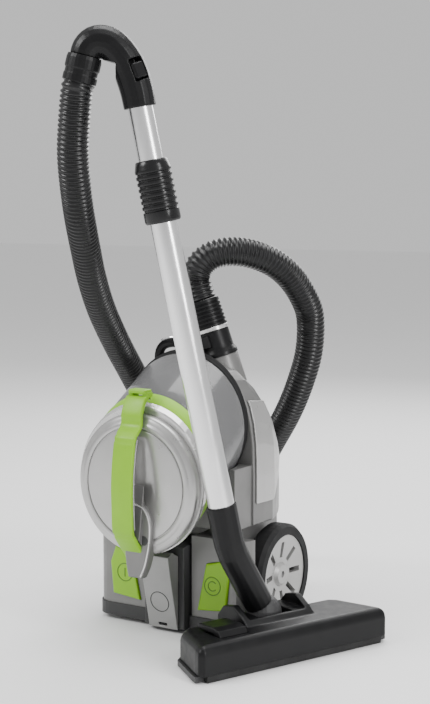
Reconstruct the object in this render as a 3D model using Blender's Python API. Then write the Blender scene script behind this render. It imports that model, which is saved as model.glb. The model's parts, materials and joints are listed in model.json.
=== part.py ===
"""Bagless canister vacuum cleaner with dust cup, hose, telescopic wand and floor head.

Metres, +Z up. The canister's front faces -Y and its symmetry plane is parallel to Y.
Canister pieces are laid out from a point on the floor below the nose, wand pieces along
the wand's own axis, and floor head pieces from the floor below the head's neck.
"""
import math

import bmesh
import bpy
from mathutils import Matrix, Vector

# ------------------------------------------------------------------ driving dimensions
GAP = 0.0003             # clearance between pieces that touch
RUN = 0.0005             # clearance round a turning or sliding piece
WALL = 0.0025            # moulded wall

NOSE_POINT = (-0.0715, -0.0334, 0.0)  # floor point below the nose

BODY_HALF = 0.102        # half width of the upper casing
BODY_REAR = 0.232        # rear face of the casing
BASE_HALF = 0.114        # half width of the base at its front legs
BASE_FRONT = 0.015       # front face of the legs
BASE_BOTTOM = 0.006      # floor clearance of the base
BASE_TOP = 0.138         # seam between base and casing
BAND_HEIGHT = 0.0165     # dark band round the foot of the legs
BAND_THICK = 0.0018
LEG_TOP = 0.126          # top of the legs, under the dust cup

WHEEL_R = 0.066
WHEEL_WIDTH = 0.026
WHEEL_Y = 0.110
WHEEL_OUT = 0.1165       # outer face of the wheel
AXLE_R = 0.004

NOSE_HALF = 0.0215
CASTER_R = 0.0125
CASTER_TRAIL = 0.007

CUP_R = 0.0915           # dust cup outer radius
CUP_LENGTH = 0.102       # from the lid's plane to the rear of the cup
CUP_Y = -0.0526          # lid plane
CUP_Z = 0.200            # lid centre
CUP_RISE = 0.600         # rise of the cup's centre line per metre of length
FILTER_R = 0.0690
MOTOR_Z = 0.200
PANEL_THICK = 0.0028

HANDLE_X = -0.027        # middle of the carry handle
HANDLE_HALF = 0.026
STRAP_HALF = 0.015
STRAP_THICK = 0.0055

CONNECTOR_AT = (0.0330, 0.0905, 0.337)
CONNECTOR_AXIS = (-0.3125, -0.111, 1.0)
COLLAR_R = 0.0235
FLANGE_R = 0.0242
HOSE_R = 0.019           # over the ribs
CUFF_LENGTH = 0.085

WAND_FOOT = (0.1211, -0.0469, 0.165)
WAND_AXIS = (-0.1537, -0.1314, 1.0)
GRIP_SIDE = (0.848, 0.530, 0.0)      # level direction in the plane that the grip bends in
TUBE_R = 0.0160          # lower tube
TUBE_WALL = 0.0009
INNER_R = 0.0147         # upper tube
SOCKET_TOP = 0.0215      # top of the elbow's socket, along the wand
TUBE_TOP = 0.378         # top of the lower tube
CLAMP_BOTTOM = 0.3637
CLAMP_TOP = 0.4366
CLAMP_R = 0.0213
GRIP_START = 0.4975
GRIP_R = 0.0175

HEAD_AT = (0.1431, 0.0069, 0.0)
HEAD_TURN = math.radians(68)
HEAD_HALF = 0.1425       # half width at the front edge
HEAD_BACK_HALF = 0.122   # half width at the back edge
HEAD_FRONT = -0.070
HEAD_BACK = 0.012
HEAD_TOP = 0.044
NECK_Z = 0.046           # tilt axis of the neck
NECK_R = 0.0230          # ball between the elbow and the head
ELBOW_R = 0.0185
TRUNNION_R = 0.003       # pins on which the head tilts
TRUNNION_HALF = 0.034
ROLLER_R = 0.0065
ROLLER_Y = -0.004
PEDAL_X = -0.082
PEDAL_HINGE_Y = -0.018

NOSE = Matrix.Translation(NOSE_POINT)
CUP = NOSE @ Matrix((
    (1, 0, 0, 0),
    (0, 0, 1, CUP_Y),
    (0, 1, CUP_RISE, CUP_Z),
    (0, 0, 0, 1),
))


def axis_frame(at, z_axis, x_hint):
    """Matrix with its origin at a point, Z along an axis and X as near as can be to a hint."""
    z = Vector(z_axis).normalized()
    x = Vector(x_hint)
    x = (x - z * x.dot(z)).normalized()
    y = z.cross(x)
    turn = Matrix((x, y, z)).transposed().to_4x4()
    return Matrix.Translation(at) @ turn


WAND = NOSE @ axis_frame(WAND_FOOT, WAND_AXIS, GRIP_SIDE)
INLET = NOSE @ axis_frame(CONNECTOR_AT, CONNECTOR_AXIS, (1, 0, 0))
HEAD = NOSE @ Matrix.Translation(HEAD_AT) @ Matrix.Rotation(HEAD_TURN, 4, "Z")

GREEN = ((0.29, 0.51, 0.07), 0.35, 0.0)
SILVER = ((0.62, 0.61, 0.60), 0.35, 0.3)
GREY = ((0.30, 0.295, 0.29), 0.40, 0.1)
DARK = ((0.060, 0.060, 0.062), 0.45, 0.0)
BLACK = ((0.018, 0.018, 0.020), 0.35, 0.0)
RUBBER = ((0.014, 0.014, 0.015), 0.75, 0.0)
SMOKE = ((0.25, 0.25, 0.26), 0.10, 0.0)
ALUMINIUM = ((0.80, 0.80, 0.80), 0.22, 1.0)
CHROME = ((0.85, 0.85, 0.86), 0.08, 1.0)
COPPER = ((0.60, 0.33, 0.20), 0.40, 0.8)
WHITE = ((0.75, 0.75, 0.73), 0.80, 0.0)


# ------------------------------------------------------------------ scene and helpers
for old in list(bpy.data.objects):
    bpy.data.objects.remove(old)

PARTS = bpy.data.collections.new("vacuum_cleaner")
CUTTERS = bpy.data.collections.new("cutters")
for group in (PARTS, CUTTERS):
    bpy.context.scene.collection.children.link(group)


def material(name, finish):
    colour, roughness, metallic = finish
    made = bpy.data.materials.new(name)
    made.use_nodes = True
    shader = made.node_tree.nodes["Principled BSDF"]
    shader.inputs["Base Color"].default_value = (*colour, 1)
    shader.inputs["Roughness"].default_value = roughness
    shader.inputs["Metallic"].default_value = metallic
    return made


def to_object(name, bm, frame, pivot=(0, 0, 0)):
    """Object whose origin is at pivot, in the frame that its mesh is laid out in."""
    bmesh.ops.translate(bm, verts=bm.verts, vec=-Vector(pivot))
    bmesh.ops.recalc_face_normals(bm, faces=bm.faces)
    mesh = bpy.data.meshes.new(name)
    bm.to_mesh(mesh)
    bm.free()
    made = bpy.data.objects.new(name, mesh)
    place = frame @ Matrix.Translation(pivot)
    if frame is CUP:
        # The cup's frame leans its round sections back, which an object's own place can't hold.
        mesh.transform(place.to_3x3().to_4x4())
        place = Matrix.Translation(place.translation)
        if place.to_3x3().determinant() * frame.to_3x3().determinant() < 0:
            mesh.flip_normals()
    made.matrix_world = place
    return made


def piece(name, bm, finish, frame=NOSE, pivot=(0, 0, 0)):
    made = to_object(name, bm, frame, pivot)
    made.data.materials.append(material(name, finish))
    made.data.shade_smooth()
    made.data.set_sharp_from_angle(angle=math.radians(35))
    PARTS.objects.link(made)
    return made


def boolean(target, bm, frame=NOSE, operation="DIFFERENCE"):
    tool = to_object(target.name + "_tool", bm, frame)
    tool.hide_render = True
    tool.display_type = "WIRE"
    CUTTERS.objects.link(tool)
    step = target.modifiers.new("cut", "BOOLEAN")
    step.operation = operation
    step.solver = "EXACT"
    step.object = tool


def box(low, high, bevel=0.0, segments=1):
    bm = bmesh.new()
    bmesh.ops.create_cube(bm, size=1)
    size = [b - a for a, b in zip(low, high)]
    centre = [(a + b) / 2 for a, b in zip(low, high)]
    bmesh.ops.scale(bm, verts=bm.verts, vec=size)
    bmesh.ops.translate(bm, verts=bm.verts, vec=centre)
    if bevel:
        bmesh.ops.bevel(bm, geom=bm.edges, offset=bevel, segments=segments, profile=0.5, affect="EDGES")
    return bm


def rod(radius, start, end, sides=24, end_radius=None):
    """Cylinder or cone from one point to another."""
    start = Vector(start)
    run = Vector(end) - start
    bm = bmesh.new()
    bmesh.ops.create_cone(
        bm, cap_ends=True, segments=sides, radius1=radius,
        radius2=radius if end_radius is None else end_radius, depth=run.length,
    )
    turn = run.to_track_quat("Z", "Y").to_matrix().to_4x4()
    bmesh.ops.transform(bm, verts=bm.verts, matrix=Matrix.Translation(start + run / 2) @ turn)
    return bm


def turned(profile, sides=32):
    """Solid of revolution about Z from (radius, height) points; a ring's profile closes itself."""
    on_axis = profile[0][0] == 0 and profile[-1][0] == 0
    bm = bmesh.new()
    points = [bm.verts.new((r, 0, z)) for r, z in profile]
    pairs = list(zip(points, points[1:]))
    if not on_axis:
        pairs.append((points[-1], points[0]))
    edges = [bm.edges.new(pair) for pair in pairs]
    bmesh.ops.spin(
        bm, geom=points + edges, cent=(0, 0, 0), axis=(0, 0, 1), dvec=(0, 0, 0),
        angle=2 * math.pi, steps=sides, use_merge=False, use_duplicate=False,
    )
    bmesh.ops.remove_doubles(bm, verts=bm.verts, dist=1e-6)
    return bm


def ring(inner, outer, low, high, sides=40):
    return turned([(outer, high), (outer, low), (inner, low), (inner, high)], sides)


def plate(outline, low, high, bevel=0.0, segments=2):
    """Flat outline raised from low to high, with its top edge rounded."""
    bm = bmesh.new()
    face = bm.faces.new([bm.verts.new((x, y, low)) for x, y in outline])
    raised = bmesh.ops.extrude_face_region(bm, geom=[face])
    top = [v for v in raised["geom"] if isinstance(v, bmesh.types.BMVert)]
    bmesh.ops.translate(bm, verts=top, vec=(0, 0, high - low))
    if bevel:
        rim = [e for e in bm.edges if all(v in top for v in e.verts)]
        bmesh.ops.bevel(bm, geom=rim, offset=bevel, segments=segments, profile=0.5, affect="EDGES")
    return bm


def side_plate(outline, half):
    """Outline in the YZ plane, as wide as two halves along X."""
    bm = plate(outline, -half, half)
    turn = Matrix(((0, 0, 1, 0), (1, 0, 0, 0), (0, 1, 0, 0), (0, 0, 0, 1)))
    bmesh.ops.transform(bm, verts=bm.verts, matrix=turn)
    return bm


def loft(sections):
    """Closed solid through loops of equally many points."""
    bm = bmesh.new()
    loops = [[bm.verts.new(p) for p in section] for section in sections]
    count = len(loops[0])
    for near, far in zip(loops, loops[1:]):
        for i in range(count):
            j = (i + 1) % count
            bm.faces.new((near[i], near[j], far[j], far[i]))
    bm.faces.new(loops[0][::-1])
    bm.faces.new(loops[-1])
    return bm


def moved(bm, matrix):
    bmesh.ops.transform(bm, verts=bm.verts, matrix=matrix)
    return bm


def arc(centre, radius, start, end, steps):
    """Points on an arc, angles in degrees."""
    turns = [math.radians(start + (end - start) * i / steps) for i in range(steps + 1)]
    return [(centre[0] + radius * math.cos(a), centre[1] + radius * math.sin(a)) for a in turns]


def offset(points, distance, closed=True):
    """Outline moved to its right-hand side; outlines here run counter-clockwise."""
    result = []
    count = len(points)
    for i, here in enumerate(points):
        before = points[i - 1] if closed or i else None
        after = points[(i + 1) % count] if closed or i + 1 < count else None
        sides = []
        for a, b in ((before, here), (here, after)):
            if a is not None and b is not None:
                run = Vector((b[0] - a[0], b[1] - a[1])).normalized()
                sides.append(Vector((run.y, -run.x)))
        normal = sum(sides, Vector((0, 0))).normalized()
        reach = distance / max(0.4, normal.dot(sides[0]))
        result.append((here[0] + normal.x * reach, here[1] + normal.y * reach))
    return result


def smooth_path(points, per_span):
    """Catmull-Rom curve through the points."""
    points = [Vector(p) for p in points]
    ends = [2 * points[0] - points[1], 2 * points[-1] - points[-2]]
    points = [ends[0], *points, ends[1]]
    result = []
    for a, b, c, d in zip(points, points[1:], points[2:], points[3:]):
        for i in range(per_span):
            t = i / per_span
            result.append(0.5 * (
                2 * b + (c - a) * t + (2 * a - 5 * b + 4 * c - d) * t ** 2
                + (3 * b - a - 3 * c + d) * t ** 3
            ))
    result.append(points[-2])
    return result


def curve_object(name, points, radius, resolution, radii=None):
    data = bpy.data.curves.new(name, "CURVE")
    data.dimensions = "3D"
    data.bevel_depth = radius
    data.bevel_resolution = resolution
    data.use_fill_caps = True
    line = data.splines.new("POLY")
    line.points.add(len(points) - 1)
    for i, point in enumerate(points):
        line.points[i].co = (*point, 1)
        line.points[i].radius = radii[i] if radii else 1
    return bpy.data.objects.new(name, data)


def bent_rod(points, radius, resolution=4, radii=None):
    """Mesh of a round rod along a path."""
    curve = curve_object("bent_rod", points, radius, resolution, radii)
    bpy.context.scene.collection.objects.link(curve)
    graph = bpy.context.evaluated_depsgraph_get()
    mesh = bpy.data.meshes.new_from_object(curve.evaluated_get(graph))
    bpy.data.objects.remove(curve)
    bm = bmesh.new()
    bm.from_mesh(mesh)
    bmesh.ops.remove_doubles(bm, verts=bm.verts, dist=1e-6)
    return bm


# ------------------------------------------------------------------ base and nose
WHEEL_IN = WHEEL_OUT - WHEEL_WIDTH
WELL_HALF = WHEEL_IN - 0.005
WELL_FRONT = WHEEL_Y - WHEEL_R - 0.005
CORNER_R = 0.020
HOUSING_HALF = NOSE_HALF + 0.0085
RECESS_HALF = HOUSING_HALF + 0.004
RECESS_BACK = 0.055
CRADLE_BACK = CUP_Y + CUP_LENGTH + 0.0028
CASING_FRONT = CRADLE_BACK + 0.0068


def casing_half(y):
    """Half width of the casing at its widest, station by station along the body."""
    front = CRADLE_BACK
    share = max(0.0, (y - 0.10) / (BODY_REAR - 0.10))
    ease = min(1.0, 0.96 + 0.04 * max(0.0, (y - front)) / 0.04)
    return BODY_HALF * ease * (1 - 0.66 * share ** 1.3)


def casing_top(y):
    """Height of the casing's crown along the body."""
    crown = CUP_Z + CUP_RISE * CUP_LENGTH + CUP_R - 0.006
    share = max(0.0, (y - 0.075) / (BODY_REAR - 0.075))
    return crown - 0.188 * share ** 1.4


def base_outline():
    """Half outline of the base from the recess round the leg to the rear, counter-clockwise."""
    corner = (BASE_HALF - CORNER_R, BASE_FRONT + CORNER_R)
    tail = [0.155, 0.180, 0.205, BODY_REAR - 0.004]
    half = [
        (RECESS_HALF, RECESS_BACK),
        (RECESS_HALF, BASE_FRONT),
        *arc(corner, CORNER_R, -90, 0, 6),
        (BASE_HALF, WELL_FRONT - 0.002),
        (WELL_HALF, WELL_FRONT),
        *[(min(WELL_HALF, casing_half(y) - 0.003), y) for y in tail],
    ]
    return half + [(-x, y) for x, y in reversed(half)]


def make_base():
    outline = base_outline()
    tub = piece("base_tub", plate(outline, BASE_BOTTOM, BASE_TOP - GAP), GREY)
    inside = offset(outline, -WALL * 1.2)
    inside = [(x, max(y, RECESS_BACK + 2 * WALL)) for x, y in inside]
    rear_room = [p for p in inside if abs(p[0]) < WELL_HALF and p[1] > RECESS_BACK + 3 * WALL]
    right = [p for p in rear_room if p[0] > 0]
    front_edge = RECESS_BACK + 2 * WALL
    side = WELL_HALF - 1.2 * WALL
    room = [(-side, front_edge), (side, front_edge), *right, *[(-x, y) for x, y in reversed(right)]]
    boolean(tub, plate(room, BASE_BOTTOM + 0.003, BASE_TOP + 0.01))
    boolean(tub, box((-0.2, -0.1, LEG_TOP), (0.2, RECESS_BACK + 0.001, BASE_TOP + 0.01)))
    for sign in (-1, 1):
        boolean(tub, plate(offset(pedal_outline(sign), 0.0006), -0.001, 0.0135), pedal_frame())
    boolean(tub, rod(AXLE_R + GAP, (-0.2, WHEEL_Y, WHEEL_R), (0.2, WHEEL_Y, WHEEL_R)))
    # The band follows the legs and the recess between them.
    run = outline[1:len(outline) // 2 - 4]
    path = [(-x, y) for x, y in reversed(run)] + [(-RECESS_HALF, RECESS_BACK), (RECESS_HALF, RECESS_BACK)] + run
    band = offset(path, GAP + BAND_THICK, closed=False) + offset(path, GAP, closed=False)[::-1]
    piece("bumper_band", plate(band, BASE_BOTTOM, BASE_BOTTOM + BAND_HEIGHT), DARK)


def pedal_frame():
    """Frame of the pedals' faces: X across, Y up, Z into the legs."""
    return NOSE @ Matrix.Translation((0, BASE_FRONT - 0.0035, 0)) @ Matrix(
        ((1, 0, 0, 0), (0, 0, 1, 0), (0, 1, 0, 0), (0, 0, 0, 1))
    )


def pedal_outline(sign):
    points = [(0.044, 0.032), (0.086, 0.036), (0.090, 0.078), (0.082, 0.099), (0.057, 0.093)]
    if sign < 0:
        return [(-x, z) for x, z in reversed(points)]
    return points


def make_pedals():
    for name, sign in (("switch_pedal", -1), ("rewind_pedal", 1)):
        made = plate(pedal_outline(sign), 0.0, 0.0090)
        face = [e for e in made.edges if all(abs(v.co.z) < 1e-6 for v in e.verts)]
        bmesh.ops.bevel(made, geom=face, offset=0.002, segments=2, profile=0.5, affect="EDGES")
        piece(name, made, GREEN, pedal_frame(), (sign * 0.067, 0.066, 0.0045))


def make_nose():
    face = [(0.001, 0.005), (0.0032, 0.005), (0.0032, 0.100), (-0.010, 0.107), (-0.0205, 0.103), (-0.0145, 0.074)]
    cover = piece("nose_cover", side_plate(face[::-1], NOSE_HALF), SILVER)
    boolean(cover, box((-0.0065, -0.010, 0.0085), (0.0065, 0.0022, 0.0125)))
    back = RECESS_BACK - GAP
    notch = BASE_BOTTOM + BAND_HEIGHT + GAP
    front_foot = back - BAND_THICK - GAP
    outline = [(0.0035, 0.0055), (front_foot, 0.0055), (front_foot, notch), (back, notch), (back, 0.118),
               (0.0035, 0.112)]
    housing = piece("nose_housing", side_plate(outline, HOUSING_HALF), DARK)
    pocket = HOUSING_HALF - 0.006
    at = caster_centre()
    boolean(housing, rod(pocket, (0, at, -0.01), (0, at, 0.034), 32))
    boolean(housing, rod(0.0042 + RUN, (0, at, 0.030), (0, at, 0.054), 20))


def caster_centre():
    return 0.0035 + HOUSING_HALF - 0.006 + 0.0015


def make_caster():
    at = caster_centre()
    roller_y = at + CASTER_TRAIL
    pivot = (0, at, 0.03)
    arm = 0.0035
    gap = 0.0085
    fork = piece("caster_fork", rod(0.0042, (0, at, 0.0275), (0, at, 0.050), 20), GREY, NOSE, pivot)
    boolean(fork, rod(0.0150, (0, at, 0.0275), (0, at, 0.0325), 28), NOSE, "UNION")
    for sign in (-1, 1):
        low = (sign * gap if sign > 0 else -gap - arm, roller_y - 0.0055, CASTER_R - 0.0045)
        high = (gap + arm if sign > 0 else -gap, roller_y + 0.0055, 0.0280)
        boolean(fork, box(low, high), NOSE, "UNION")
    hub = [(0.0, gap + arm), (0.0022, gap + arm), (0.0022, gap - 0.0005), (CASTER_R - 0.0015, gap - 0.0005),
           (CASTER_R, gap - 0.002)]
    profile = hub + [(r, -z) for r, z in reversed(hub)]
    roller = moved(turned(profile, 28), Matrix.Rotation(math.radians(90), 4, "Y"))
    roller = moved(roller, Matrix.Translation((0, roller_y, CASTER_R)))
    piece("caster_roller", roller, BLACK, NOSE, (0, roller_y, CASTER_R))
    boolean(fork, rod(0.0022 + GAP, (-0.03, roller_y, CASTER_R), (0.03, roller_y, CASTER_R), 16))


def make_wheels():
    turn = Matrix.Rotation(math.radians(90), 4, "Y")
    rim = WHEEL_R * 0.78
    half = WHEEL_WIDTH / 2
    tread = [
        (WHEEL_R, half - 0.005), (WHEEL_R, -half + 0.005), (WHEEL_R - 0.004, -half), (rim + GAP, -half),
        (rim + GAP, half), (WHEEL_R - 0.004, half),
    ]
    hub = [
        (AXLE_R + GAP, half - 0.004), (0.012, half - 0.004), (0.016, half - 0.008), (rim - 0.006, half - 0.003),
        (rim, half - 0.002), (rim, -half + 0.002), (rim - 0.005, -half + 0.002), (rim - 0.005, 0.002),
        (0.012, -0.001), (0.012, -half), (AXLE_R + GAP, -half),
    ]
    for side, sign in (("left", -1), ("right", 1)):
        middle = (sign * (WHEEL_OUT - half), WHEEL_Y, WHEEL_R)
        place = Matrix.Translation(middle) @ (turn if sign > 0 else Matrix.Rotation(math.radians(-90), 4, "Y"))
        piece(f"tyre_{side}", moved(turned(tread, 48), place), RUBBER, NOSE, middle)
        disc = piece(f"wheel_hub_{side}", moved(turned(hub, 48), place), SILVER, NOSE, middle)
        slots = bmesh.new()
        for i in range(8):
            bar = box((0.022, -0.0035, 0), (rim - 0.009, 0.0035, 0.03), 0.0)
            moved(bar, place @ Matrix.Rotation(math.radians(45 * i), 4, "Z"))
            mesh = bpy.data.meshes.new("slot")
            bar.to_mesh(mesh)
            bar.free()
            slots.from_mesh(mesh)
        boolean(disc, slots)
    end = WHEEL_OUT - 0.006
    axle = rod(AXLE_R, (-end, WHEEL_Y, WHEEL_R), (end, WHEEL_Y, WHEEL_R), 20)
    piece("rear_axle", axle, CHROME)


# ------------------------------------------------------------------ casing and what it holds
def casing_section(y, grow, floor):
    """Loop across the body at one station: straight sides, then a rounded crown."""
    half = casing_half(y) + grow
    top = casing_top(y) + grow
    bend = BASE_TOP + 0.30 * (top - BASE_TOP)
    power = 2 / 2.7
    loop = [(half, y, floor)]
    steps = 18
    for i in range(steps + 1):
        turn = math.pi * i / steps
        across = math.copysign(abs(math.cos(turn)) ** power, math.cos(turn))
        loop.append((half * across, y, bend + (top - bend) * math.sin(turn) ** power))
    loop.append((-half, y, floor))
    return loop


def casing_solid(grow, floor, trim=0.0):
    """Casing's outer shape, grown or shrunk, with its ends moved in by the trim."""
    steps = 8
    reach = BODY_REAR - CASING_FRONT
    stations = [CASING_FRONT + reach * i / steps for i in range(steps + 1)]
    sections = [casing_section(y, grow, floor) for y in stations]
    sections[0] = [(x, y + trim, z) for x, y, z in sections[0]]
    sections[-1] = [(x, y - trim, z) for x, y, z in sections[-1]]
    return loft(sections)


def make_casing():
    casing = piece("upper_casing", casing_solid(0.0, BASE_TOP), GREY)
    boolean(casing, casing_solid(-WALL, BASE_TOP - 0.02, WALL))
    mouth = cup_centre_z(CASING_FRONT)
    boolean(casing, rod(FILTER_R + GAP, (0, CASING_FRONT - 0.01, mouth), (0, CASING_FRONT + 0.01, mouth), 40))
    boolean(casing, box((-0.021, BODY_REAR - 0.01, 0.143), (0.021, BODY_REAR + 0.01, 0.157)))
    boolean(casing, rod(COLLAR_R + GAP, (0, 0, -0.045), (0, 0, 0.05), 32), INLET)
    boolean(casing, rod(FLANGE_R + 0.0015, (0, 0, 0.0098), (0, 0, 0.06), 32), INLET)
    for side, sign in (("left", -1), ("right", 1)):
        panel = piece(f"side_panel_{side}", casing_solid(PANEL_THICK, 0.142), SILVER)
        boolean(panel, casing_solid(GAP, 0.10, -0.0005))
        edge = CASING_FRONT + 0.004
        outline = [(edge, 0.165), (0.100, 0.165), (0.150, 0.215), (0.140, 0.255), (0.116, 0.290), (edge, 0.296)]
        window = side_plate(outline, 0.06)
        moved(window, Matrix.Translation((sign * 0.095, 0, 0)))
        boolean(panel, window, NOSE, "INTERSECT")


def cup_centre_z(y):
    return CUP_Z + CUP_RISE * (y - CUP_Y)


def make_casing_fittings():
    low = CUP_LENGTH + 0.0012
    piece("cup_gasket", ring(CUP_R - 0.0100, CUP_R - 0.0005, low, low + 0.0075, 48), RUBBER, CUP)
    mouth = cup_centre_z(CASING_FRONT)
    disc = rod(FILTER_R, (0, CASING_FRONT + 0.0006, mouth), (0, CASING_FRONT + 0.0070, mouth), 40)
    piece("premotor_filter", disc, WHITE)
    core = [(0.0, 0.070), (0.020, 0.070), (0.020, 0.062), (0.0445, 0.058), (0.0445, 0.010), (0.030, 0.0),
            (0.006, 0.0), (0.006, -0.016), (0.0, -0.016)]
    along = Matrix.Translation((0, 0.108, MOTOR_Z)) @ Matrix.Rotation(math.radians(-90), 4, "X")
    piece("motor", moved(turned(core, 32), along), COPPER)
    fan = [(0.0063, 0.0), (0.044, -0.004), (0.044, -0.0075), (0.012, -0.0125), (0.0063, -0.0125)]
    shifted = [(r, z - 0.0015) for r, z in fan]
    impeller = moved(turned(shifted, 32), along)
    piece("motor_fan", impeller, ALUMINIUM, NOSE, (0, 0.108, MOTOR_Z))
    mount = moved(ring(0.0448, 0.0520, 0.020, 0.034, 32), along)
    holder = piece("motor_mount", mount, RUBBER)
    boolean(holder, box((-0.020, 0.129, 0.140), (0.020, 0.141, MOTOR_Z - 0.046)), NOSE, "UNION")
    piece("exhaust_filter", box((-0.028, 0.196, 0.150), (0.028, 0.212, 0.182), 0.001), WHITE)
    grille = piece("exhaust_grille", box((-0.025, BODY_REAR + GAP, 0.1405), (0.025, BODY_REAR + 0.0033, 0.1595), 0.0008), DARK)
    for i in range(5):
        z = 0.1435 + 0.0032 * i
        boolean(grille, box((-0.020, BODY_REAR - 0.01, z), (0.020, BODY_REAR + 0.01, z + 0.0016)))
    reel = [(0.0068, 0.036), (0.052, 0.036), (0.052, 0.034), (0.026, 0.034), (0.026, 0.002), (0.052, 0.002),
            (0.052, 0.0), (0.0068, 0.0)]
    at = Matrix.Translation((0, 0.135, 0.078))
    piece("cord_reel", moved(turned(reel, 32), at), DARK, NOSE, (0, 0.135, 0.078))
    spindle = [(0.0, 0.118), (0.0062, 0.118), (0.0062, 0.075), (0.010, 0.075), (0.010, 0.073), (0.0062, 0.073),
               (0.0062, 0.058), (0.0, 0.058)]
    foot = piece("reel_spindle", moved(turned(spindle, 24), Matrix.Translation((0, 0.135, 0))), GREY)
    boolean(foot, box((-0.008, 0.117, 0.0093), (0.008, 0.153, 0.0600)), NOSE, "UNION")


def make_carry_handle():
    """Low arch on the crown, off to the left of the hose connector."""
    y = CASING_FRONT + 0.0125
    top = casing_top(y)
    middle = HANDLE_X
    half = HANDLE_HALF
    grip = [(middle - half, y, top - 0.012), (middle - half + 0.002, y, top + 0.004),
            (middle - half + 0.010, y, top + 0.013), (middle, y, top + 0.016),
            (middle + half - 0.010, y, top + 0.013), (middle + half - 0.002, y, top + 0.004),
            (middle + half, y, top - 0.012)]
    path = smooth_path(grip, 3)
    handle = piece("carry_handle", bent_rod(path, 0.0065, 2), BLACK)
    boolean(handle, casing_solid(GAP, 0.1, -0.0005))
    trim = [Vector((p.x, p.y - 0.004, p.z + 0.0072)) for p in path[5:-5]]
    piece("handle_trim", bent_rod(trim, 0.0011, 1), CHROME)


def make_cradle():
    """Block under each side of the cup that carries it on the base."""
    block = box((-0.096, RECESS_BACK - 0.038, BASE_TOP), (0.096, CASING_FRONT - GAP, 0.215))
    cradle = piece("cup_cradle", block, GREY)
    boolean(cradle, rod(CUP_R + 0.0015, (0, 0, -0.03), (0, 0, CUP_LENGTH + 0.05), 48), CUP)


# ------------------------------------------------------------------ dust cup and lid
LID_R = CUP_R - 0.004


def make_cup():
    end = CUP_LENGTH
    wall = WALL
    shell = [
        (CUP_R - 0.0038, 0.0130), (CUP_R - 0.0038, 0.0292), (CUP_R - 0.001, 0.0310), (CUP_R - 0.001, end),
        (CUP_R - 0.001 - wall, end), (CUP_R - 0.001 - wall, 0.0325), (CUP_R - 0.0038 - wall, 0.0305),
        (CUP_R - 0.0038 - wall, 0.0130),
    ]
    piece("cup_shell", turned(shell, 48), SMOKE, CUP)
    piece("cup_ring", ring(CUP_R - 0.0035, CUP_R + 0.0003, 0.0130, 0.0288, 48), GREEN, CUP)
    rim_r = CUP_R + 0.0008
    rim = [(rim_r - 0.001, 0.0046), (rim_r, 0.0060), (rim_r, 0.0127), (CUP_R - 0.0078, 0.0127),
           (CUP_R - 0.0078, 0.0046)]
    frame = piece("cup_rim", turned(rim, 48), SILVER, CUP)
    lug = box((-0.0062, CUP_Y + 0.0050, hinge_z() - 0.0130), (0.0062, CUP_Y + 0.0120, hinge_z() + 0.0035))
    boolean(frame, lug, NOSE, "UNION")
    boolean(frame, rod(0.0015 + GAP, (-0.02, hinge_y(), hinge_z()), (0.02, hinge_y(), hinge_z()), 16))
    pin = rod(0.0015, (-0.0138, hinge_y(), hinge_z()), (0.0138, hinge_y(), hinge_z()), 16)
    piece("lid_hinge_pin", pin, CHROME)
    cone = [(0.0480, end - 0.0036), (0.0200, 0.0240), (0.0180, 0.0240), (0.0460, end - 0.0036)]
    piece("cyclone_cone", turned(cone[::-1], 32), DARK, CUP)
    shroud = ring(0.0560, 0.0580, 0.0480, end - 0.0036, 32)
    piece("mesh_shroud", shroud, GREY, CUP)
    back = [(CUP_R - 0.0041, end - 0.0032), (CUP_R - 0.0041, end - 0.0008), (0.022, end - 0.0008),
            (0.022, end - 0.0032)]
    piece("cup_rear_plate", turned(back[::-1], 40), DARK, CUP)


def hinge_y():
    return CUP_Y + 0.0085


def hinge_z():
    """Clear of the back of the rim, which is higher than its front."""
    return cup_centre_z(CUP_Y + 0.0127) + CUP_R + 0.0060


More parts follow.
